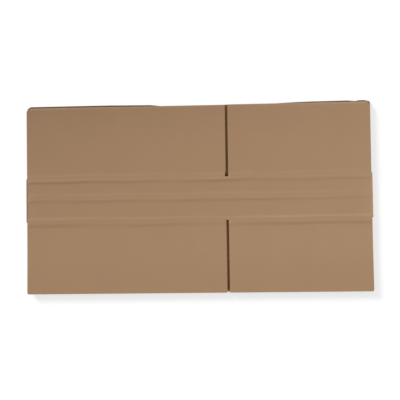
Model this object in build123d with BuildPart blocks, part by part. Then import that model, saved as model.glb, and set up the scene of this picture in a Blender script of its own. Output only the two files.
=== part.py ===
"""A slotted shipping carton of corrugated board, folded flat and glued, as one sheet."""

import os

from build123d import *

# The carton lies flat on its back layer. X runs across the folded tube, Y along the flutes from
# the bottom flaps to the top flaps, and Z up from the surface that the carton lies on.

# Carton, measured inside when it is squared up
inside_length = 305.0
inside_width = 215.0
inside_height = 60.0

# Inside height when the walls are cut down and folded at the spare score
spare_height = 30.0

# Board and the cuts in it
board = 3.0
slot_width = 4.0
overrun = 5.0

# Glued corner: a crushed tab on the back long panel, stuck inside the back short panel
tab_reach = 30.0
tab_thickness = 1.8
tab_taper = 7.0
tab_end_gap = 2.0
tab_root_slope = 4.0
tab_clearance = 0.2
seam_gap = 2.0

# Score lines: two shallow round beads outside, one round crease inside
bead_radius = 10.0
bead_depth = 0.6
bead_spacing = 7.2
crease_radius = 1.2

# How much further up the back layer lies than the front one, as the folds ran a little askew
fold_shift = 3.5

# Flap corner at the top left that was knocked in, on both layers
knocked_corner = 5.0

# Panels, from score line to score line
panel_length = inside_length + board
panel_width = inside_width + board
body_height = inside_height + 2 * board
flap_depth = panel_width / 2

# Flat tube
flat_width = panel_length + panel_width
layer_gap = tab_thickness + tab_clearance
stack = 2 * board + layer_gap
flat_run = flat_width - stack
front_z = board + layer_gap
front_y = -fold_shift / 2
back_y = fold_shift / 2

# Heights of the score lines on a layer: bottom hinge, spare score, top hinge
spare_score = spare_height + 2 * board - body_height / 2
score_lines = (-body_height / 2, spare_score, body_height / 2)

# Centres of the score beads, above the front layer and below the back one
front_bead_z = stack + bead_radius - bead_depth
back_bead_z = bead_depth - bead_radius

# Corners that lie within a layer: long panel first on the front, short panel first on the back
front_corner_x = panel_length - flat_width / 2
back_corner_x = panel_width - flat_width / 2

# Glue tab, seen from the side: it rests on both panels and slopes down onto the long one
tab_free_x = back_corner_x - tab_reach
tab_bend_x = back_corner_x + seam_gap / 2
tab_root_x = tab_bend_x + tab_root_slope
tab_top_z = board + tab_thickness
tab_half_height = body_height / 2 - tab_end_gap

with BuildPart() as glue_tab:
    with BuildSketch(Plane.XZ.offset(-back_y)) as tab_section:
        with BuildLine() as tab_outline:
            Polyline(
                (tab_free_x, board),
                (tab_free_x, tab_top_z),
                (tab_bend_x, tab_top_z),
                (tab_root_x, board),
                close=True,
            )
        make_face()
    extrude(amount=tab_half_height, both=True)
    # Both ends taper from the root to the free edge
    for end in (1, -1):
        end_point = (tab_root_x, back_y + end * tab_half_height, 0)
        end_normal = (-tab_taper, end * tab_reach, 0)
        split(bisect_by=Plane(origin=end_point, z_dir=end_normal), keep=Keep.BOTTOM)

with BuildPart() as carton:
    # Tube: two flat layers that run into each other round a fold at each side
    with BuildSketch(Plane.XZ) as tube_section:
        with Locations((0, stack / 2)):
            SlotOverall(flat_width, stack)
            SlotOverall(flat_width - 2 * board, layer_gap, mode=Mode.SUBTRACT)
    extrude(amount=body_height, both=True)
    # The folds run askew, so each end of the tube leans from the back score to the front one
    for end in (1, -1):
        end_point = (0, end * body_height / 2, stack / 2)
        end_normal = (0, end * stack, end * fold_shift)
        split(bisect_by=Plane(origin=end_point, z_dir=end_normal), keep=Keep.BOTTOM)

    # Flaps: straight on from each layer, half a slot short of the folds and slotted at the corner
    root_lap = fold_shift * board / stack
    for layer_z, layer_y, corner_x in ((0, back_y, back_corner_x), (front_z, front_y, front_corner_x)):
        with BuildSketch(Plane.XY.offset(layer_z)) as flaps:
            for end in (1, -1):
                score_y = layer_y + end * body_height / 2
                with Locations((0, score_y + end * (flap_depth - root_lap) / 2)):
                    Rectangle(flat_width - slot_width, flap_depth + root_lap)
                with Locations((corner_x, score_y + end * (flap_depth + overrun) / 2)):
                    Rectangle(slot_width, flap_depth + overrun, mode=Mode.SUBTRACT)
            left_points = flaps.vertices().group_by(Axis.X)[0]
            chamfer(left_points.sort_by(Axis.Y)[-1], knocked_corner)
        extrude(amount=board)

    # Seam: the back panels end either side of their corner, from slot to slot
    with BuildSketch(Plane.XY) as seam:
        with Locations((back_corner_x, back_y)):
            Rectangle(seam_gap, body_height + 2 * overrun)
    extrude(amount=board, mode=Mode.SUBTRACT)

    # Score lines across both layers
    with BuildSketch(Plane.YZ) as beads:
        for layer_y, bead_z in ((front_y, front_bead_z), (back_y, back_bead_z)):
            for score in score_lines:
                for side in (-1, 1):
                    with Locations((layer_y + score + side * bead_spacing / 2, bead_z)):
                        Circle(bead_radius)
    extrude(amount=flat_width / 2 + overrun, both=True, mode=Mode.SUBTRACT)
    with BuildSketch(Plane.YZ) as creases:
        for layer_y, inner_z in ((front_y, front_z), (back_y, board)):
            for score in score_lines:
                with Locations((layer_y + score, inner_z)):
                    Circle(crease_radius)
    extrude(amount=flat_run / 2, both=True, mode=Mode.SUBTRACT)

    # Corner crease inside the front layer, between its two slots
    with BuildSketch(Plane.XZ.offset(-front_y)) as corner_crease:
        with Locations((front_corner_x, front_z)):
            Circle(crease_radius)
    extrude(amount=body_height / 2, both=True, mode=Mode.SUBTRACT)

    # The glued corner closes the tube
    add(glue_tab.part)

carton.part.label = "folded_carton"
os.makedirs("parts", exist_ok=True)
export_step(carton.part, "parts/folded_carton.step")
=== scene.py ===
"""Looks of a slotted carton folded flat: corrugated kraft board lying on a plain pale floor."""

import bisect
import logging
import math
from contextlib import contextmanager
from dataclasses import dataclass
from enum import Enum, IntEnum
from typing import Callable, Iterator

import bpy
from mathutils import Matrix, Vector, noise


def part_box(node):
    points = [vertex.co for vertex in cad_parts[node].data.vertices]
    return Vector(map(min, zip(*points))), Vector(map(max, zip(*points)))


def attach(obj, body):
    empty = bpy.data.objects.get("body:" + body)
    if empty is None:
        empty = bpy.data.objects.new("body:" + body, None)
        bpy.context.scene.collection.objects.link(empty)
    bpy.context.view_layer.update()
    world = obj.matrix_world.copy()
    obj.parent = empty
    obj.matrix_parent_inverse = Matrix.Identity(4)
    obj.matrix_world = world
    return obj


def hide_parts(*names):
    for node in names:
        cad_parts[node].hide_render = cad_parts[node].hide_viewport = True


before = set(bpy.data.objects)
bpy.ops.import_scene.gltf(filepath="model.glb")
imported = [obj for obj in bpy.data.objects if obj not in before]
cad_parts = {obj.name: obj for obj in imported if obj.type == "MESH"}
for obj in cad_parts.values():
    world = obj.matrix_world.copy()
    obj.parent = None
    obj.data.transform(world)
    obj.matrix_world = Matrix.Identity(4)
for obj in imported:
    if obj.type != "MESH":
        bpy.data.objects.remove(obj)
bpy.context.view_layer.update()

CARTON_NODE = "folded_carton"
LOG = logging.getLogger("carton")

# Distance from one flute to the next, in metres
FLUTE_PITCH = 0.0064
# Share of a size within which two places count as one
NEAR_SHARE = 0.01
# Vertex weight below which a point is left alone
LEAST_WEIGHT = 0.005
# Strength of each finer octave of the shader noise
OCTAVE_SHARE = 0.55

Colour = tuple[float, float, float]
Grain = tuple[float, float, float]


class Layer(Enum):
    """The two layers of the flat tube, by the way that their outer liner faces along Z."""

    FRONT = 1
    BACK = -1


class Pick(Enum):
    """What a selection is made of, as Blender's three select buttons."""

    POINTS = (True, False, False)
    EDGES = (False, True, False)
    FACES = (False, False, True)


class BoardFace(IntEnum):
    """Material slots of the board."""

    OUTER_LINER = 0
    INNER_LINER = 1
    CUT_EDGE = 2
    FLUTE = 3


def ease(value: float, start: float, end: float) -> float:
    """Rise smoothly from 0 at start to 1 at end, where end may be the lower one."""
    share = min(1.0, max(0.0, (value - start) / (end - start)))
    return share * share * (3.0 - 2.0 * share)


def bell(distance: float, spread: float) -> float:
    """Fall smoothly from 1 as a bell curve of the given spread does."""
    return math.exp(-0.5 * (distance / spread) ** 2)


class Workpiece:
    """A mesh under work, with the selecting and editing steps that repeat."""

    def __init__(self, obj: bpy.types.Object) -> None:
        """Take up a mesh object."""
        self.obj = obj

    @property
    def mesh(self) -> bpy.types.Mesh:
        """The mesh itself, which operators may replace."""
        return self.obj.data

    def take_up(self) -> None:
        """Deselect everything else and make this object the active one."""
        bpy.ops.object.select_all(action="DESELECT")
        self.obj.select_set(True)
        bpy.context.view_layer.objects.active = self.obj

    def clear(self) -> None:
        """Deselect every point, edge and face."""
        for elements in (self.mesh.vertices, self.mesh.edges, self.mesh.polygons):
            elements.foreach_set("select", [False] * len(elements))

    def pick_points(self, test: Callable[[Vector], bool]) -> None:
        """Select the points whose place a test accepts."""
        self.clear()
        for point in self.mesh.vertices:
            point.select = test(point.co)

    def pick_edges(self, test: Callable[[Vector, Vector], bool]) -> None:
        """Select the edges whose two ends a test accepts."""
        self.clear()
        points = self.mesh.vertices
        for edge in self.mesh.edges:
            first, second = edge.vertices
            edge.select = test(points[first].co, points[second].co)

    def pick_faces(self, test: Callable[[bpy.types.MeshPolygon], bool]) -> None:
        """Select the faces that a test accepts."""
        self.clear()
        for face in self.mesh.polygons:
            face.select = test(face)

    @contextmanager
    def edit(self, kind: Pick) -> Iterator[None]:
        """Work in edit mode on what is selected.

        Args:
            kind: The elements that the selection is made of.
        """
        self.take_up()
        bpy.context.tool_settings.mesh_select_mode = kind.value
        bpy.ops.object.mode_set(mode="EDIT")
        yield
        bpy.ops.object.mode_set(mode="OBJECT")

    def modify(self, kind: str, **settings: object) -> None:
        """Add a modifier with the given settings and apply it."""
        self.take_up()
        modifier = self.obj.modifiers.new(kind.lower(), kind)
        for name, value in settings.items():
            setattr(modifier, name, value)
        bpy.ops.object.modifier_apply(modifier=modifier.name)

    def weigh(self, name: str, weight: Callable[[Vector, Vector], float]) -> None:
        """Paint a vertex group from each point's place and normal.

        Args:
            name: The group's name.
            weight: Gives 0 to 1 for a place and a normal.
        """
        group = self.obj.vertex_groups.new(name=name)
        for point in self.mesh.vertices:
            share = weight(point.co, point.normal)
            if share > LEAST_WEIGHT:
                group.add([point.index], min(1.0, share), "REPLACE")

    def move_points(self, place: Callable[[Vector], Vector]) -> None:
        """Move each point to the place that a function gives for it."""
        for point in self.mesh.vertices:
            point.co = place(point.co)


class Signal:
    """A socket that Python's operators turn into Math nodes."""

    def __init__(self, graph: "Graph", socket: bpy.types.NodeSocket) -> None:
        """Wrap an output socket of a graph."""
        self.graph = graph
        self.socket = socket

    def _math(self, operation: str, first: object, second: object) -> "Signal":
        """Add one Math node for two values or signals."""
        return self.graph.signal("ShaderNodeMath", "Value", {"operation": operation}, {0: first, 1: second})

    def __add__(self, other: object) -> "Signal":
        """Sum."""
        return self._math("ADD", self, other)

    __radd__ = __add__

    def __sub__(self, other: object) -> "Signal":
        """Difference."""
        return self._math("SUBTRACT", self, other)

    def __rsub__(self, other: object) -> "Signal":
        """Difference from a number."""
        return self._math("SUBTRACT", other, self)

    def __mul__(self, other: object) -> "Signal":
        """Product."""
        return self._math("MULTIPLY", self, other)

    __rmul__ = __mul__

    def above(self, level: float) -> "Signal":
        """1 where the signal is above a level, 0 elsewhere."""
        return self._math("GREATER_THAN", self, level)

    def at_most(self, level: float) -> "Signal":
        """The signal, held down to a level."""
        return self._math("MINIMUM", self, level)

    def size(self) -> "Signal":
        """The signal without its sign."""
        return self.graph.signal("ShaderNodeMath", "Value", {"operation": "ABSOLUTE"}, {0: self})

    def wave(self) -> "Signal":
        """The sine of the signal."""
        return self.graph.signal("ShaderNodeMath", "Value", {"operation": "SINE"}, {0: self})


class Graph:
    """The node tree of one finish, or of the world."""

    def __init__(self, tree: bpy.types.NodeTree) -> None:
        """Start from an empty tree."""
        self.tree = tree
        tree.nodes.clear()

    def node(self, kind: str, settings: dict | None = None, inputs: dict | None = None) -> bpy.types.Node:
        """Add a node.

        Args:
            kind: The node's type.
            settings: The node's own properties, set first.
            inputs: Values, signals or sockets for its inputs, by name or number.

        Returns:
            The new node.
        """
        made = self.tree.nodes.new(kind)
        for name, value in (settings or {}).items():
            setattr(made, name, value)
        for name, value in (inputs or {}).items():
            if isinstance(value, Signal):
                value = value.socket
            if isinstance(value, bpy.types.NodeSocket):
                self.tree.links.new(value, made.inputs[name])
            else:
                made.inputs[name].default_value = value
        return made

    def signal(
        self, kind: str, output: str, settings: dict | None = None, inputs: dict | None = None
    ) -> Signal:
        """Add a node and wrap one of its outputs."""
        return Signal(self, self.node(kind, settings, inputs).outputs[output])

    def stretched(self, stretch: Grain) -> bpy.types.NodeSocket:
        """Object coordinates, in metres, times a stretch for each axis."""
        place = self.node("ShaderNodeTexCoord").outputs["Object"]
        return self.node("ShaderNodeMapping", inputs={"Vector": place, "Scale": stretch}).outputs["Vector"]

    def grain(self, stretch: Grain, detail: float = 2.0) -> Signal:
        """Soft noise about 0, from -0.5 to 0.5, with features one over the stretch long.

        Args:
            stretch: Features per metre along each axis.
            detail: Octaves of finer noise.

        Returns:
            The noise.
        """
        inputs = {"Vector": self.stretched(stretch), "Scale": 1.0}
        inputs |= {"Detail": detail, "Roughness": OCTAVE_SHARE}
        return self.signal("ShaderNodeTexNoise", "Fac", None, inputs) - 0.5

    def shade(self, colour: Colour | bpy.types.NodeSocket, level: Signal) -> bpy.types.NodeSocket:
        """A colour made lighter or darker by a level about 1."""
        settings = {"operation": "SCALE"}
        inputs = {0: colour, "Scale": level}
        return self.node("ShaderNodeVectorMath", settings, inputs).outputs["Vector"]

    def blend(self, share: Signal, first: object, second: object) -> bpy.types.NodeSocket:
        """Mix two colours by a share from 0 to 1."""
        made = self.node("ShaderNodeMix", {"data_type": "RGBA"}, {"Factor": share})
        for socket, value in zip([item for item in made.inputs if item.type == "RGBA"], (first, second)):
            if isinstance(value, bpy.types.NodeSocket):
                self.tree.links.new(value, socket)
            else:
                socket.default_value = (*value, 1.0)
        return next(item for item in made.outputs if item.type == "RGBA")


@dataclass(frozen=True)
class KraftLiner:
    """Smooth brown liner paper with cloudy formation, fine fibres and a few dark flecks, plus painted light
    and shade: a tilt of tone across the sheet, painted shade toward the flaps' free edges and at one corner,
    and a worn colour that also lightens shaded top edges.

    Grains are in features per metre along each axis, and lengths and heights in metres.
    """

    name: str
    colour: Colour
    worn_and_lit_colour: Colour = (0.45, 0.30, 0.19)
    scuff_grain: Grain = (130.0, 130.0, 130.0)
    scuff_detail: float = 4.0
    scuff_level: float = 0.55
    cloud_share: float = 0.05
    cloud_grain: Grain = (22.0, 14.0, 22.0)
    small_cloud_share: float = 0.6
    small_cloud_grain: Grain = (75.0, 50.0, 75.0)
    fibre_share: float = 0.10
    fibre_grain: Grain = (190.0, 1500.0, 1500.0)
    fine_fibre_share: float = 0.7
    fine_fibre_grain: Grain = (420.0, 2600.0, 2600.0)
    fleck_share: float = 0.25
    fleck_grain: Grain = (260.0, 900.0, 900.0)
    fleck_level: float = 0.27
    edge_shade_share: float = 0.05
    # Painted shade: the paper is made unevenly darker toward the flaps' free edges
    edge_shade_grain: Grain = (16.0, 16.0, 16.0)
    edge_shade_run: tuple[float, float] = (0.074, 0.144)
    # Painted light and shade: a tilt of tone across the sheet, lighter toward the top right and bottom left,
    # darker toward the other two corners
    painted_light_share: float = 0.04
    painted_light_span: tuple[float, float] = (0.26, 0.14)
    roughness: float = 0.88
    fibre_roughness: float = 0.12
    scuff_roughness: float = 0.08
    sheen: float = 0.22
    tooth_grain: Grain = (2600.0, 2600.0, 2600.0)
    tooth_detail: float = 3.0
    tooth_height: float = 0.00004
    washboard_height: float = 0.000006
    flute_pitch: float = FLUTE_PITCH

    def material(self) -> bpy.types.Material:
        """Build the finish."""
        made = bpy.data.materials.new(self.name)
        made.use_nodes = True
        graph = Graph(made.node_tree)

        clouds = graph.grain(self.cloud_grain) + self.small_cloud_share * graph.grain(self.small_cloud_grain)
        fibres = graph.grain(self.fibre_grain) + self.fine_fibre_share * graph.grain(self.fine_fibre_grain)
        tooth = graph.grain(self.tooth_grain, self.tooth_detail)
        flecks = graph.grain(self.fleck_grain, detail=1.0).above(self.fleck_level)
        apart = graph.node("ShaderNodeSeparateXYZ", None, {0: graph.stretched((1.0, 1.0, 1.0))})
        across, along = (Signal(graph, apart.outputs[axis]) for axis in ("X", "Y"))
        # Painted shade, darker toward the flaps' free edges
        inputs = {"Value": along.size(), "From Min": self.edge_shade_run[0], "From Max": self.edge_shade_run[1]}
        toward_edge = graph.signal("ShaderNodeMapRange", "Result", {"interpolation_type": "SMOOTHSTEP"}, inputs)
        edge_shade = toward_edge * (1.0 + graph.grain(self.edge_shade_grain))
        level = 1.0 + self.cloud_share * clouds + self.fibre_share * fibres
        level = level - self.fleck_share * flecks - self.edge_shade_share * edge_shade
        # Painted light and shade across the sheet, from the product of X and Y
        level = level + across * along * (self.painted_light_share / (self.painted_light_span[0] * self.painted_light_span[1]))
        paper = graph.shade(self.colour, level)

        # The worn colour shows real wear, and along the shaded top edges it is also painted light
        wear_and_light = graph.signal("ShaderNodeAttribute", "Fac", {"attribute_name": "wear_and_light"})
        scuff = graph.grain(self.scuff_grain, self.scuff_detail) + self.scuff_level
        scuffs_and_light = wear_and_light * scuff.at_most(1.0)
        # Painted shade: darker at the front layer's top right corner
        corner_shade = graph.signal("ShaderNodeAttribute", "Fac", {"attribute_name": "corner_shade"})
        colour = graph.shade(graph.blend(scuffs_and_light, paper, self.worn_and_lit_colour), 1.0 - corner_shade)

        washboard = (across * (math.tau / self.flute_pitch)).wave()
        height = self.washboard_height * washboard + self.tooth_height * (tooth + fibres)
        bump = graph.node("ShaderNodeBump", None, {"Height": height, "Strength": 1.0, "Distance": 1.0})
        inputs = {
            "Base Color": colour,
            "Roughness": self.roughness + self.fibre_roughness * fibres + self.scuff_roughness * scuffs_and_light,
            "Normal": bump.outputs["Normal"],
            "Specular IOR Level": self.sheen,
        }
        paper_shader = graph.node("ShaderNodeBsdfPrincipled", None, inputs)
        graph.node("ShaderNodeOutputMaterial", None, {"Surface": paper_shader.outputs["BSDF"]})
        return made


@dataclass(frozen=True)
class RawFibre:
    """Torn and cut paper: coarse, matt fibre with uneven tone.

    Grains are in features per metre along each axis, and heights in metres.
    """

    name: str
    colour: Colour
    fibre_share: float = 0.45
    fibre_grain: Grain = (700.0, 700.0, 1800.0)
    fibre_detail: float = 3.0
    lump_share: float = 0.25
    lump_grain: Grain = (160.0, 160.0, 400.0)
    roughness: float = 0.96
    fibre_roughness: float = 0.06
    sheen: float = 0.1
    fuzz_height: float = 0.00012

    def material(self) -> bpy.types.Material:
        """Build the finish."""
        made = bpy.data.materials.new(self.name)
        made.use_nodes = True
        graph = Graph(made.node_tree)
        strands = graph.grain(self.fibre_grain, self.fibre_detail)
        lumps = graph.grain(self.lump_grain)
        colour = graph.shade(self.colour, 1.0 + self.fibre_share * strands + self.lump_share * lumps)
        height = self.fuzz_height * (strands + lumps)
        bump = graph.node("ShaderNodeBump", None, {"Height": height, "Strength": 1.0, "Distance": 1.0})
        inputs = {
            "Base Color": colour,
            "Roughness": self.roughness + self.fibre_roughness * strands,
            "Normal": bump.outputs["Normal"],
            "Specular IOR Level": self.sheen,
        }
        fibre_shader = graph.node("ShaderNodeBsdfPrincipled", None, inputs)
        graph.node("ShaderNodeOutputMaterial", None, {"Surface": fibre_shader.outputs["BSDF"]})
        return made


OUTER_KRAFT = KraftLiner("outer_kraft_liner", (0.365, 0.225, 0.128))
INNER_KRAFT = KraftLiner("inner_test_liner", (0.36, 0.187, 0.08), cloud_share=0.09, roughness=0.93)
CUT_FIBRE = RawFibre("cut_board_fibre", (0.37, 0.24, 0.145))
FLUTE_PAPER = RawFibre("flute_paper", (0.30, 0.19, 0.11), fibre_share=0.25)


@dataclass(frozen=True)
class Score:
    """A score across a layer: a shallow trough that falls in two steps and rises in one.

    Lengths are in metres, and the walls' places are above the score's middle.
    """

    middle: float
    seed: float
    depth_share: float
    first_share: float
    upper_wall: float = 0.0053
    upper_half: float = 0.0026
    step_wall: float = -0.0010
    step_half: float = 0.0019
    lower_wall: float = -0.0058
    lower_half: float = 0.0024
    wander: float = 0.0014
    wander_pace: float = 16.0
    depth_change: float = 0.9
    depth_pace: float = 12.0
    softness_change: float = 0.6
    softness_pace: float = 9.0

    def share(self, across: float, along: float) -> float:
        """Share of the full depth at a place, uneven along the score."""
        depth, softness, shift = (
            noise.noise(Vector((across * pace, self.seed, row)))
            for row, pace in enumerate((self.depth_pace, self.softness_pace, self.wander_pace))
        )
        away = along - self.middle - self.wander * shift
        walls = []
        for wall, half in (
            (self.upper_wall, -self.upper_half),
            (self.step_wall, -self.step_half),
            (self.lower_wall, self.lower_half),
        ):
            half *= 1.0 + self.softness_change * softness
            walls.append(ease(away, wall - half, wall + half))
        fall = self.first_share * walls[0] + (1.0 - self.first_share) * walls[1]
        return self.depth_share * (1.0 + self.depth_change * depth) * fall * walls[2]


@dataclass
class FlatCarton:
    """The carton's one sheet of board: two flat layers, joined round a fold at each side.

    Lengths are in metres, and heights along Y are those of a layer before the folds run askew.
    """

    flat_width: float
    flat_height: float
    stack: float
    board: float = 0.003
    slot_width: float = 0.004
    body_height: float = 0.066
    spare_height: float = 0.030
    fold_shift: float = 0.0035
    left_fold_lag: float = 3.0
    right_fold_lag: float = 1.0
    seam_gap: float = 0.002

    score_depth: float = 0.0011
    score_skin_share: float = 0.02
    score_reach: float = 0.010
    score_steps: int = 9
    crease_depth: float = 0.0012
    crease_spread: float = 0.0008

    flap_droop: float = 0.0007
    droop_level: float = 0.75
    droop_change: float = 0.5
    droop_paces: tuple[float, float] = (7.0, 3.0)
    droop_seed: float = 4.0
    edge_droop: float = 0.0003
    edge_droop_run: tuple[float, float] = (0.009, 0.002)
    knocked_corner: tuple[float, float] = (0.005, 0.0035)
    worn_corner: tuple[float, float] = (0.0011, 0.0011)
    corner_crush: float = 0.9
    back_tilt: float = 0.0115
    back_rises: tuple[tuple[float, float], ...] = (
        (-0.135, 0.0),
        (-0.110, -0.0004),
        (-0.070, -0.0009),
        (-0.060, -0.0021),
        (-0.052, -0.0030),
        (-0.046, -0.0034),
        (-0.044, 0.0),
        (0.050, -0.0003),
        (0.110, -0.0011),
        (0.152, 0.0),
        (0.173, 0.0002),
        (0.200, 0.0),
        (0.228, -0.0001),
        (0.240, -0.0014),
        (0.245, -0.0003),
        (0.254, -0.0004),
        (0.258, -0.0018),
    )
    front_rises: tuple[tuple[float, float], ...] = (
        (-0.150, 0.0005),
        (-0.050, 0.0001),
        (0.044, 0.0),
        (0.046, 0.0003),
    )
    flap_flare: float = 0.0015

    # Worn top edges, and painted light that lightens the shaded strip along the top edge, more toward the
    # sides
    top_wear_and_light: float = 1.5
    top_wear_and_light_reach: float = 0.0015
    cut_wear: float = 0.15
    wear_and_light_reach: float = 0.0011
    fold_wear: float = 0.22
    fold_wear_reach: float = 0.010
    slot_wear: float = 2.5
    slot_wear_place: float = 0.0025
    slot_wear_reach: float = 0.0012
    slot_tear: float = 0.0012
    slot_tear_run: tuple[float, float] = (0.0078, 0.0067)
    # Painted shade at the front layer's top right corner, for the shadowed gap there
    corner_shade_depth: float = 0.9
    corner_shade_reach: float = 0.0019

    flute_pitch: float = FLUTE_PITCH
    flute_reach: float = 0.012
    web_cuts: int = 3
    liner: float = 0.00026
    side_liner: float = 0.0004
    side_recess: float = 0.0004
    flap_row: float = 0.014
    edge_rows: tuple[float, ...] = (0.0012, 0.0026, 0.0045, 0.0075)
    fold_steps: int = 10
    left_squareness: float = 2.2
    right_squareness: float = 2.8
    smooth_angle: float = math.radians(30.0)

    @classmethod
    def from_frame(cls) -> "FlatCarton":
        """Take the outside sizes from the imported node's box."""
        low, high = (Vector(corner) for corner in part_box(CARTON_NODE))
        size = high - low
        return cls(flat_width=size.x, flat_height=size.y, stack=size.z)

    @property
    def near(self) -> float:
        """How close two places on the sheet count as one."""
        return self.board * NEAR_SHARE

    @property
    def flap_depth(self) -> float:
        """A flap, from its score to its free edge."""
        return (self.flat_height - self.fold_shift - self.body_height) / 2

    @property
    def hinge(self) -> float:
        """Height of the flaps' hinges on a layer, where the slots end."""
        return self.body_height / 2

    @property
    def free_edge(self) -> float:
        """Height of the flaps' free edges on a layer."""
        return self.hinge + self.flap_depth

    @property
    def fold_start(self) -> float:
        """Half width of a layer, where the side folds begin."""
        return (self.flat_width - self.stack) / 2

    @property
    def flap_side(self) -> float:
        """Half width over the flaps, half a slot short of the folds."""
        return (self.flat_width - self.slot_width) / 2

    @property
    def scores(self) -> list[Score]:
        """The score lines: bottom hinge, spare score and top hinge."""
        hinge = self.hinge
        spare = self.spare_height + 2 * self.board - hinge
        return [
            Score(-hinge, seed=93.5, depth_share=0.54, first_share=0.95, upper_half=0.0019, lower_half=0.003),
            Score(spare, seed=90.5, depth_share=0.5, first_share=0.65, lower_wall=-0.0053, lower_half=0.0026),
            Score(hinge, seed=12.75, depth_share=0.60, first_share=0.55),
        ]

    def corner(self, layer: Layer) -> float:
        """Place along X of the corner within a layer: short panel right in front, left behind."""
        return layer.value * (self.flat_width / 2 - 2 * self.flap_depth)

    def face_height(self, layer: Layer) -> float:
        """Height of a layer's outer liner."""
        return self.stack if layer is Layer.FRONT else 0.0

    def layer_at(self, place: Vector) -> Layer:
        """The layer that a point belongs to."""
        return Layer.FRONT if place.z > self.stack / 2 else Layer.BACK

    def depth_at(self, place: Vector) -> float:
        """How deep a point lies in its board: 0 at the outer liner, 1 at the inner one."""
        return abs(place.z - self.face_height(self.layer_at(place))) / self.board

    @staticmethod
    def is_within(depth: float) -> bool:
        """Tell a depth between the liners from one on either of them."""
        return NEAR_SHARE < depth < 1.0 - NEAR_SHARE

    def edge_rise(self, place: Vector) -> float:
        """How much further up than it was cut a layer's top edge lies, at a place along X."""
        rises = self.front_rises if self.layer_at(place) is Layer.FRONT else self.back_rises
        number = bisect.bisect([across for across, _ in rises], place.x)
        (start, low), (end, high) = rises[max(number - 1, 0)], rises[min(number, len(rises) - 1)]
        return low if start == end else low + (high - low) * (place.x - start) / (end - start)

    def wear_and_light_at(self, place: Vector) -> float:
        """How worn a point is, with painted light on the shaded top edges: most at the top edges and slot
        ends, and widest at the folds.
        """
        to_side = self.flat_width / 2 - abs(place.x)
        if abs(place.y) < self.hinge:
            return self.fold_wear * bell(to_side, self.fold_wear_reach)
        end_wear_and_light, reach = self.cut_wear, self.wear_and_light_reach
        # At the top edges this is real wear and also painted light on the shaded strip, growing toward the
        # sides
        if place.y > 0.0:
            end_wear_and_light += self.top_wear_and_light * abs(place.x) / self.flap_side
            reach = self.top_wear_and_light_reach
        wear_and_light = max(
            end_wear_and_light * bell(self.free_edge - abs(place.y), reach),
            self.cut_wear * bell(to_side, 2 * self.wear_and_light_reach),
        )
        if self.layer_at(place) is Layer.FRONT:
            across = place.x - self.corner(Layer.FRONT) + math.copysign(self.slot_width / 2, place.y)
            along = abs(place.y) - self.hinge - self.slot_wear_place
            wear_and_light = max(wear_and_light, self.slot_wear * bell(math.hypot(across, along), self.slot_wear_reach))
        return wear_and_light

    def corner_shade_at(self, place: Vector) -> float:
        """The painted shade at a point, standing for the shadowed gap at a crushed corner: only the front
        layer's top right corner has it.
        """
        if self.layer_at(place) is Layer.BACK:
            return 0.0
        away = math.hypot(self.flap_side - place.x, self.free_edge - place.y)
        return self.corner_shade_depth * bell(away, self.corner_shade_reach)

    def columns(self, layer: Layer) -> list[float]:
        """Places along X of a layer's grid lines, two to a flute across each flap."""
        corner = self.corner(layer)
        lines = [-self.flap_side]
        for start, end in (
            (-self.fold_start, corner - self.slot_width / 2),
            (corner + self.slot_width / 2, self.fold_start),
        ):
            count = 2 * round((end - start) / self.flute_pitch)
            lines += [start + (end - start) * step / count for step in range(count + 1)]
        lines.append(self.flap_side)
        half_gap = self.seam_gap / 2
        lines += [corner - half_gap, corner, corner + half_gap]
        return sorted(lines)

    def rows(self) -> list[float]:
        """Places along Y of both layers' grid lines, close together at the scores and free edges."""
        lines = {self.hinge, -self.hinge, self.free_edge, -self.free_edge}
        for score in self.scores:
            for step in range(-self.score_steps, self.score_steps + 1):
                lines.add(score.middle + self.score_reach * step / self.score_steps)
        for end in (1, -1):
            lines |= {end * (self.free_edge - back) for back in self.edge_rows}
            start = self.hinge + self.score_reach
            run = self.free_edge - max(self.edge_rows) - start
            count = round(run / self.flap_row)
            lines |= {end * (start + run * step / count) for step in range(1, count)}
        kept: list[float] = []
        firm = {self.hinge, -self.hinge, *(score.middle for score in self.scores)}
        closest = self.score_reach / self.score_steps / 2
        for line in sorted(lines):
            if line not in firm and any(abs(line - other) < closest for other in firm):
                continue
            kept.append(line)
        return kept

    def build(self) -> bpy.types.Object:
        """Lay, cut, fold, thicken and score the sheet.

        Returns:
            The finished board.
        """
        layers = [self._lay_layer(layer) for layer in Layer]
        sheet = self._fold_sides(layers)
        self._thicken(sheet)
        self._square_folds(sheet)
        self._open_flutes(sheet)
        self._recess_cut_sides(sheet)
        self._press_scores(sheet)
        self._mark_wear_light_and_shade(sheet)
        self._tear_slot(sheet)
        self._settle_flaps(sheet)
        self._blunt_corners(sheet)
        self._run_askew(sheet)
        sheet.obj.name = sheet.mesh.name = "flat_carton_board"
        return sheet.obj

    def _lay_layer(self, layer: Layer) -> Workpiece:
        """Lay one layer as a flat grid, and cut its slots, its side notches and its seam."""
        columns, rows = self.columns(layer), self.rows()
        bpy.ops.object.select_all(action="DESELECT")
        bpy.ops.mesh.primitive_grid_add(x_subdivisions=len(columns) - 1, y_subdivisions=len(rows) - 1)
        sheet = Workpiece(bpy.context.active_object)
        height = self.face_height(layer)
        for point in sheet.mesh.vertices:
            row, column = divmod(point.index, len(columns))
            point.co = (columns[column], rows[row], height)

        corner, half_slot = self.corner(layer), self.slot_width / 2

        def is_waste(face: bpy.types.MeshPolygon) -> bool:
            """Tell a face that is cut away."""
            across, along = face.center.x, abs(face.center.y)
            in_slot = abs(across - corner) < half_slot and along > self.hinge
            in_fold = abs(across) > self.fold_start and along < self.hinge
            in_seam = layer is Layer.BACK and abs(across - corner) < self.seam_gap / 2
            return in_slot or in_fold or in_seam

        sheet.pick_faces(is_waste)
        with sheet.edit(Pick.FACES):
            bpy.ops.mesh.delete(type="FACE")
        return sheet

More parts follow.
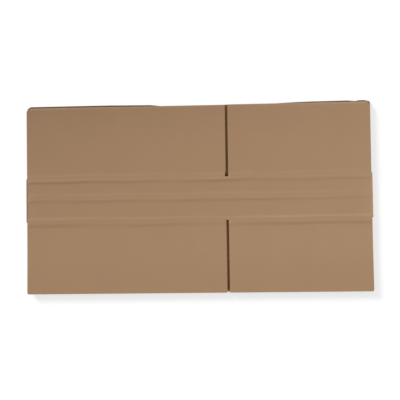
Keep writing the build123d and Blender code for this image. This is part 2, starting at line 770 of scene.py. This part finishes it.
    def _fold_sides(self, layers: list[Workpiece]) -> Workpiece:
        """Join the layers and spin the body's sides round from the front layer to the back one."""
        sheet = layers[0]
        bpy.ops.object.select_all(action="DESELECT")
        for layer in layers:
            layer.obj.select_set(True)
        bpy.context.view_layer.objects.active = sheet.obj
        bpy.ops.object.join()

        for side in (1, -1):

            def on_fold(place: Vector) -> bool:
                """Tell a point where the front layer's body ends at this side."""
                at_side = abs(place.x - side * self.fold_start) < self.near
                return at_side and place.z > self.stack / 2 and abs(place.y) < self.hinge + self.near

            sheet.pick_edges(lambda first, second: on_fold(first) and on_fold(second))
            with sheet.edit(Pick.EDGES):
                centre = (side * self.fold_start, 0.0, self.stack / 2)
                axis = (0.0, -side, 0.0)
                bpy.ops.mesh.spin(steps=self.fold_steps, angle=math.pi, center=centre, axis=axis)
        with sheet.edit(Pick.POINTS):
            bpy.ops.mesh.select_all(action="SELECT")
            bpy.ops.mesh.remove_doubles(threshold=self.near)
            bpy.ops.mesh.normals_make_consistent(inside=False)
        return sheet

    def _thicken(self, sheet: Workpiece) -> None:
        """Give the sheet its board, inwards from the outer liner."""
        for finish in (OUTER_KRAFT, INNER_KRAFT, CUT_FIBRE, FLUTE_PAPER):
            sheet.mesh.materials.append(finish.material())
        sheet.modify(
            "SOLIDIFY",
            thickness=self.board,
            offset=-1.0,
            use_even_offset=True,
            material_offset=int(BoardFace.INNER_LINER),
            material_offset_rim=int(BoardFace.CUT_EDGE),
        )

    def _square_folds(self, sheet: Workpiece) -> None:
        """Square the outer liner a little where it turns round the folds, as creased board does."""
        half = self.stack / 2

        def square(place: Vector) -> Vector:
            """Push a point of a fold's outer half circle out onto a squarer curve."""
            beyond, rise = (abs(place.x) - self.fold_start) / half, (place.z - half) / half
            if beyond < NEAR_SHARE or abs(math.hypot(beyond, rise) - 1.0) > NEAR_SHARE:
                return place
            power = self.right_squareness if place.x > 0.0 else self.left_squareness
            grow = (beyond**power + abs(rise) ** power) ** (-1.0 / power)
            across = self.fold_start + beyond * grow * half
            return Vector((math.copysign(across, place.x), place.y, half + rise * grow * half))

        sheet.move_points(square)

    def _open_flutes(self, sheet: Workpiece) -> None:
        """Cut the waves of the medium into the flaps' free edges, and open the flutes between them."""
        near = self.near
        lines = {layer: self.columns(layer) for layer in Layer}

        def on_edge(place: Vector) -> bool:
            """Tell a point on a free edge."""
            return abs(abs(place.y) - self.free_edge) < near

        def is_tip(place: Vector) -> bool:
            """Tell a point where the medium touches a liner: outer and inner by turns."""
            layer = self.layer_at(place)
            number = bisect.bisect_left(lines[layer], place.x - near)
            return on_edge(place) and (self.depth_at(place) < 0.5) == (number % 2 == 1)

        def is_upright(first: Vector, second: Vector) -> bool:
            """Tell an edge from liner to liner, other than at a flap's side."""
            if not (on_edge(first) and on_edge(second)) or abs(first.x - second.x) > near:
                return False
            corner = self.corner(self.layer_at(first))
            at_slot = abs(abs(first.x - corner) - self.slot_width / 2) < near
            return not at_slot and abs(first.x) < self.flap_side - near

        def is_web(first: Vector, second: Vector) -> bool:
            """Tell a straight run of the medium from one liner to the other."""
            rises = abs(self.depth_at(first) - self.depth_at(second)) > 0.5
            return on_edge(first) and on_edge(second) and rises and abs(first.x - second.x) > near

        def crosses(first: Vector, second: Vector) -> bool:
            """Tell an edge that was laid across a flute from web to web."""
            depths = (self.depth_at(first), self.depth_at(second))
            level = abs(depths[0] - depths[1]) < NEAR_SHARE and self.is_within(depths[0])
            return on_edge(first) and on_edge(second) and level

        sheet.pick_points(is_tip)
        with sheet.edit(Pick.POINTS):
            bpy.ops.mesh.vert_connect()
        sheet.pick_edges(is_upright)
        with sheet.edit(Pick.EDGES):
            bpy.ops.mesh.dissolve_edges(use_verts=False, use_face_split=False)
        sheet.pick_edges(is_web)
        with sheet.edit(Pick.EDGES):
            bpy.ops.mesh.subdivide(number_cuts=self.web_cuts)
        sheet.pick_edges(crosses)
        with sheet.edit(Pick.EDGES):
            bpy.ops.mesh.dissolve_edges(use_verts=False, use_face_split=False)

        def bend_web(place: Vector) -> Vector:
            """Turn the straight webs into a wave that is level where it meets the liners."""
            depth = self.depth_at(place)
            if not on_edge(place) or not self.is_within(depth):
                return place
            layer = self.layer_at(place)
            waved = 0.5 - 0.5 * math.cos(math.pi * depth)
            height = self.face_height(layer) - layer.value * waved * self.board
            return Vector((place.x, place.y, height))

        sheet.move_points(bend_web)
        for end in (1, -1):
            edge = end * self.free_edge
            sheet.pick_faces(
                lambda face: abs(face.center.y - edge) < near and face.material_index == BoardFace.CUT_EDGE
            )
            with sheet.edit(Pick.FACES):
                bpy.ops.mesh.inset(thickness=self.liner, use_individual=True, use_even_offset=True)
                push = {"value": (0.0, -end * self.flute_reach, 0.0)}
                bpy.ops.mesh.extrude_region_move(TRANSFORM_OT_translate=push)
        for face in sheet.mesh.polygons:
            inward = self.free_edge - abs(face.center.y)
            to_slot = abs(face.center.x - self.corner(self.layer_at(face.center))) - self.slot_width / 2
            inside = min(abs(to_slot), self.flap_side - abs(face.center.x)) > near
            in_flute = near < inward < self.flute_reach + near and inside
            if face.material_index == BoardFace.CUT_EDGE and in_flute:
                face.material_index = BoardFace.FLUTE

    def _recess_cut_sides(self, sheet: Workpiece) -> None:
        """Sink the crushed core of the slots' sides and flaps' sides a little between the liners."""

        def is_crushed(face: bpy.types.MeshPolygon) -> bool:
            """Tell a face of a side that runs along the flutes, or of a slot's end."""
            to_corner = abs(face.center.x - self.corner(self.layer_at(face.center)))
            at_slot_end = abs(abs(face.center.y) - self.hinge) < self.near and to_corner < self.slot_width / 2
            along_flutes = abs(face.normal.x) > 0.5
            return face.material_index == BoardFace.CUT_EDGE and (along_flutes or at_slot_end)

        sheet.pick_faces(is_crushed)
        with sheet.edit(Pick.FACES):
            bpy.ops.mesh.inset(thickness=self.side_liner, depth=-self.side_recess, use_even_offset=True)

    def _press_scores(self, sheet: Workpiece) -> None:
        """Press the troughs outside and the single creases inside along every score."""
        scores = self.scores

        def groove(place: Vector, normal: Vector) -> float:
            """How far a point of the outer liner is pressed in."""
            if self.depth_at(place) > self.score_skin_share or abs(place.x) > self.flap_side:
                return 0.0
            return sum(score.share(place.x, place.y) for score in scores) * abs(normal.z)

        def crease(place: Vector, normal: Vector) -> float:
            """How far a point of the inner liner is pressed in."""
            if self.depth_at(place) < 1.0 - self.score_skin_share or abs(place.x) > self.fold_start:
                return 0.0
            return max(bell(place.y - score.middle, self.crease_spread) for score in scores)

        for layer in Layer:
            for name, depth, weight in (
                ("groove", -self.score_depth, groove),
                ("crease", self.crease_depth, crease),
            ):
                group = f"{layer.name.lower()}_{name}"
                sheet.weigh(
                    group,
                    lambda place, normal: weight(place, normal) if self.layer_at(place) is layer else 0.0,
                )
                sheet.modify(
                    "DISPLACE",
                    direction="Z",
                    mid_level=0.0,
                    strength=layer.value * depth,
                    vertex_group=group,
                )
        sheet.obj.vertex_groups.clear()

    def _mark_wear_light_and_shade(self, sheet: Workpiece) -> None:
        """Record, for the finishes, how worn each point is, with painted light on the shaded top edges, and
        the painted shade at the front layer's top right corner.
        """
        for name, amount in (("wear_and_light", self.wear_and_light_at), ("corner_shade", self.corner_shade_at)):
            values = [amount(point.co) for point in sheet.mesh.vertices]
            sheet.mesh.attributes.new(name, "FLOAT", "POINT").data.foreach_set("value", values)

    def _tear_slot(self, sheet: Workpiece) -> None:
        """Tear the end of the front layer's top slot a little wider on its left."""
        side = self.corner(Layer.FRONT) - self.slot_width / 2

        def tear(place: Vector) -> Vector:
            """Push a point of the slot's side out where it is torn."""
            past_end = place.y - self.hinge
            on_side = -self.side_recess - self.near < place.x - side < self.near
            if self.layer_at(place) is Layer.BACK or not on_side or past_end < -self.side_recess - self.near:
                return place
            return place - Vector((self.slot_tear * ease(past_end, *self.slot_tear_run), 0.0, 0.0))

        sheet.move_points(tear)

    def _settle_flaps(self, sheet: Workpiece) -> None:
        """Let the front flaps droop to their free edges, and the top ones' edges stray a little."""

        def settle(place: Vector) -> Vector:
            """Give a point its place in the flap as it lies."""
            out = ease(abs(place.y), self.hinge, self.free_edge)
            rise = self.edge_rise(place) * out if place.y > 0.0 else 0.0
            droop = 0.0
            if self.layer_at(place) is Layer.FRONT:
                paces = self.droop_paces
                waves = noise.noise(Vector((place.x * paces[0], place.y * paces[1], self.droop_seed)))
                sag = out if place.y > 0.0 else math.sin(math.pi * out)
                droop = self.flap_droop * sag * (self.droop_level + self.droop_change * waves)
                if place.y > 0.0 and place.x < self.corner(Layer.FRONT):
                    droop += self.edge_droop * ease(self.free_edge - place.y, *self.edge_droop_run)
            return place + Vector((self.flap_flare * out * place.x, rise, -droop))

        sheet.move_points(settle)

    def _blunt_corners(self, sheet: Workpiece) -> None:
        """Wear the flaps' outer corners, and knock the top left one in."""

        def blunt(place: Vector) -> Vector:
            """Push a point in from the corner, square across it."""
            top_left = place.x < 0.0 < place.y
            wide, high = self.knocked_corner if top_left else self.worn_corner
            across, along = self.flap_side - abs(place.x), self.free_edge - abs(place.y)
            push = self.corner_crush * max(0.0, 1.0 - across / wide - along / high) / 2
            inward = Vector((math.copysign(push * wide, place.x), math.copysign(push * high, place.y), 0.0))
            return place - inward

        sheet.move_points(blunt)

    def _run_askew(self, sheet: Workpiece) -> None:
        """Slide the layers apart along Y, and the folds with them, as these ran a little askew."""

        def slide(place: Vector) -> Vector:
            """Give a point its place up or down the carton by how far round a fold it is."""
            turned = 0.0 if self.layer_at(place) is Layer.FRONT else 1.0
            beyond = abs(place.x) - self.fold_start
            on_flap = abs(place.y) > self.hinge + self.near or abs(abs(place.x) - self.flap_side) < self.near
            if beyond > 0.0 and not on_flap:
                lag = self.right_fold_lag if place.x > 0.0 else self.left_fold_lag
                turned = (math.atan2(beyond, place.z - self.stack / 2) / math.pi) ** lag
            shift = self.fold_shift * (turned - 0.5)
            if turned == 1.0 and place.x > self.corner(Layer.BACK):
                shift -= self.back_tilt * max(0.0, self.fold_start - place.x)
            return Vector((place.x, place.y + shift, place.z))

        sheet.move_points(slide)

    def dress(self, board: bpy.types.Object) -> None:
        """Smooth the board's rounded faces, and hang it on the frame in place of the CAD solid."""
        Workpiece(board).take_up()
        bpy.ops.object.shade_smooth_by_angle(angle=self.smooth_angle)
        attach(board, "root")
        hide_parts(CARTON_NODE)


@dataclass
class GlueTab:
    """The crushed tab that closes the tube, inside the back layer."""

    carton: FlatCarton
    reach: float = 0.030
    thickness: float = 0.0018
    taper: float = 0.007
    end_gap: float = 0.002
    root_slope: float = 0.004
    edge_round: float = 0.0003
    edge_steps: int = 2

    def build(self) -> bpy.types.Object:
        """Make the tab from a block: taper its ends, and slope its root onto the long panel.

        Returns:
            The tab.
        """
        carton = self.carton
        corner = carton.corner(Layer.BACK)
        free_end = corner - self.reach
        root = corner + carton.seam_gap / 2 + self.root_slope
        half_height = carton.body_height / 2 - self.end_gap
        along = carton.fold_shift / 2 - carton.back_tilt * (carton.fold_start - corner)
        middle = Vector(((free_end + root) / 2, along, carton.board + self.thickness / 2))
        size = (root - free_end, 2 * half_height, self.thickness)
        bpy.ops.object.select_all(action="DESELECT")
        bpy.ops.mesh.primitive_cube_add(size=1.0, location=middle, scale=size)
        bpy.ops.object.transform_apply(location=True, rotation=True, scale=True)
        tab = Workpiece(bpy.context.active_object)
        tab.pick_faces(lambda face: face.normal.x < -0.5)
        with tab.edit(Pick.FACES):
            narrowing = (half_height - self.taper) / half_height
            centre = (free_end, middle.y, middle.z)
            bpy.ops.transform.resize(value=(1.0, narrowing, 1.0), center_override=centre)
        top = carton.board + self.thickness
        tab.pick_edges(
            lambda first, second: min(first.x, second.x) > middle.x and min(first.z, second.z) > middle.z
        )
        with tab.edit(Pick.EDGES):
            bpy.ops.transform.translate(value=(-self.root_slope, 0.0, 0.0))
        tab.pick_edges(lambda first, second: min(first.z, second.z) > top - carton.near)
        with tab.edit(Pick.EDGES):
            bpy.ops.mesh.bevel(offset=self.edge_round, segments=self.edge_steps)
        return tab.obj

    def glue(self, board: bpy.types.Object) -> None:
        """Join the tab to the board, whose inner liner it continues."""
        tab = self.build()
        tab.data.materials.append(board.data.materials[BoardFace.INNER_LINER])
        bpy.ops.object.select_all(action="DESELECT")
        tab.select_set(True)
        board.select_set(True)
        bpy.context.view_layer.objects.active = board
        bpy.ops.object.join()


@dataclass(frozen=True)
class Studio:
    """Plain pale floor, even light all round, and two soft lamps."""

    floor_size: float = 6.0
    floor_drop: float = 0.0004
    floor_tone: float = 0.8
    seen_tone: float = 0.4
    seen_glow: float = 0.65
    sky_strength: float = 0.503
    key_place: tuple[float, float, float] = (1.39, -2.03, 1.62)
    key_size: float = 0.7
    key_power: float = 74.6
    shade_direction: tuple[float, float, float] = (0.66, -0.66, -0.39)
    shade_power: float = 3.9
    shade_softness: float = math.radians(22.0)

    def build(self, carton: bpy.types.Object) -> None:
        """Set the floor, the sky and the lamps.

        Args:
            carton: The board, which the key lamp lights alone.
        """
        floor = self._lay_floor()
        self._light_sky()
        key = self._hang_lamp("key_lamp", "AREA", self.key_power)
        key.data.shape = "SQUARE"
        key.data.size = self.key_size
        key.location = self.key_place
        self._aim(key, -Vector(self.key_place))
        self._light_only(key, carton)
        shade = self._hang_lamp("shade_lamp", "SUN", self.shade_power)
        shade.data.angle = self.shade_softness
        self._aim(shade, Vector(self.shade_direction))
        self._light_only(shade, floor)

    def _lay_floor(self) -> bpy.types.Object:
        """Lay the floor just under the board."""
        bpy.ops.object.select_all(action="DESELECT")
        bpy.ops.mesh.primitive_plane_add(size=self.floor_size, location=(0.0, 0.0, -self.floor_drop))
        bpy.ops.object.transform_apply(location=True)
        floor = bpy.context.active_object
        floor.name = floor.data.name = "studio_floor"
        paint = bpy.data.materials.new("pale_floor")
        paint.use_nodes = True
        graph = Graph(paint.node_tree)
        matt, seen_matt = (
            graph.node("ShaderNodeBsdfDiffuse", None, {"Color": (tone, tone, tone, 1.0)})
            for tone in (self.floor_tone, self.seen_tone)
        )
        glow = graph.node("ShaderNodeEmission", None, {"Strength": self.seen_glow})
        white = graph.node("ShaderNodeAddShader", None, {0: seen_matt.outputs[0], 1: glow.outputs[0]})
        inputs = {0: self._seen(graph), 1: matt.outputs[0], 2: white.outputs[0]}
        mixed = graph.node("ShaderNodeMixShader", None, inputs)
        graph.node("ShaderNodeOutputMaterial", None, {"Surface": mixed.outputs[0]})
        floor.data.materials.append(paint)
        return floor

    @staticmethod
    def _seen(graph: Graph) -> Signal:
        """1 for rays that show the surroundings: straight, mirrored or through glass."""
        path = graph.node("ShaderNodeLightPath").outputs
        names = ("Is Camera Ray", "Is Glossy Ray", "Is Transmission Ray")
        straight, mirrored, through = (Signal(graph, path[name]) for name in names)
        return (straight + mirrored + through).at_most(1.0)

    def _light_sky(self) -> None:
        """Even white light from all round, and plain white behind the floor."""
        world = bpy.data.worlds.new("studio_sky")
        world.use_nodes = True
        graph = Graph(world.node_tree)
        strength = self._seen(graph) * (1.0 - self.sky_strength) + self.sky_strength
        sky = graph.node("ShaderNodeBackground", None, {"Color": (1.0, 1.0, 1.0, 1.0), "Strength": strength})
        graph.node("ShaderNodeOutputWorld", None, {"Surface": sky.outputs["Background"]})
        bpy.context.scene.world = world

    @staticmethod
    def _hang_lamp(name: str, kind: str, power: float) -> bpy.types.Object:
        """Add a lamp of the given kind and power."""
        lamp = bpy.data.objects.new(name, bpy.data.lights.new(name, kind))
        lamp.data.energy = power
        bpy.context.scene.collection.objects.link(lamp)
        return lamp

    @staticmethod
    def _aim(lamp: bpy.types.Object, direction: Vector) -> None:
        """Turn a lamp to shine in a direction."""
        lamp.rotation_euler = direction.to_track_quat("-Z", "Y").to_euler()

    @staticmethod
    def _light_only(lamp: bpy.types.Object, lit: bpy.types.Object) -> None:
        """Let a lamp light one object alone."""
        group = bpy.data.collections.new(f"{lamp.name}_lit")
        group.objects.link(lit)
        lamp.light_linking.receiver_collection = group


@dataclass(frozen=True)
class Viewpoint:
    """The camera, nearly straight above the carton."""

    place: tuple[float, float, float] = (0.0587, -0.04387, 1.09745)
    turn_degrees: tuple[float, float, float] = (2.061, 2.913, -0.791)
    lens: float = 65.0
    sensor: float = 36.0

    def build(self) -> None:
        """Set up the camera."""
        camera = bpy.data.objects.new("camera", bpy.data.cameras.new("camera"))
        camera.data.lens = self.lens
        camera.data.sensor_width = self.sensor
        camera.location = self.place
        camera.rotation_euler = [math.radians(turn) for turn in self.turn_degrees]
        bpy.context.scene.collection.objects.link(camera)
        bpy.context.scene.camera = camera


def main() -> None:
    """Build the carton, the studio and the camera, and report each piece."""
    logging.basicConfig(level=logging.INFO, format="%(name)s: %(message)s")
    carton = FlatCarton.from_frame()
    board = carton.build()
    GlueTab(carton).glue(board)
    carton.dress(board)
    board.data.calc_loop_triangles()
    LOG.info("%s: %d triangles", board.name, len(board.data.loop_triangles))
    Studio().build(board)
    Viewpoint().build()
    bpy.context.scene.view_settings.view_transform = "Standard"


if __name__ == "__main__":
    main()
